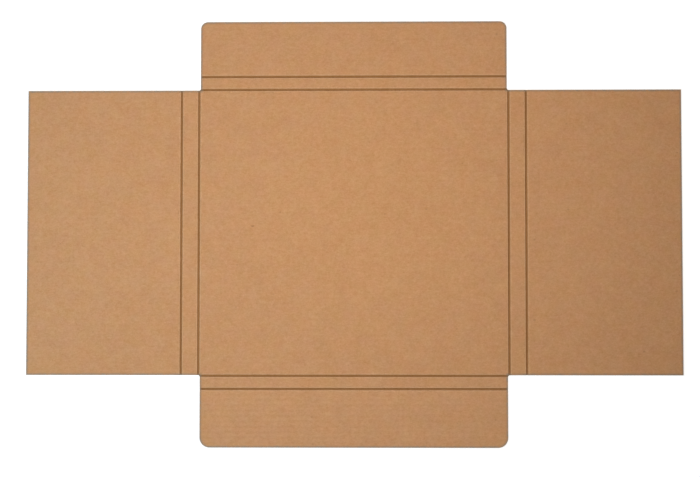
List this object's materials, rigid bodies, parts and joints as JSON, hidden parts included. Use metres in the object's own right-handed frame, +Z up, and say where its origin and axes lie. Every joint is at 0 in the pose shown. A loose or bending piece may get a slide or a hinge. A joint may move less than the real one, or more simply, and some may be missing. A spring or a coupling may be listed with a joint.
{
  "type": "flattened cardboard box",
  "caption": "Flat die-cut blank of a folding cardboard box: corrugated board with pressed creases between a centre panel, side walls and closing flaps.",
  "frame": {"origin": "middle of the centre panel, on the face the sheet rests on", "axes": "+X along the flutes, towards the right side flap; +Y towards the shorter end flap, the one at the top of the picture; +Z up, out of the creased inside face"},
  "size_m": [0.7494, 0.488, 0.003],
  "materials": {
    "kraft_board": "matt brown kraft paper with a faint washboard of the flutes"
  },
  "bodies": {
    "root": {"box_blank": "kraft_board"}
  },
  "joints": []
}
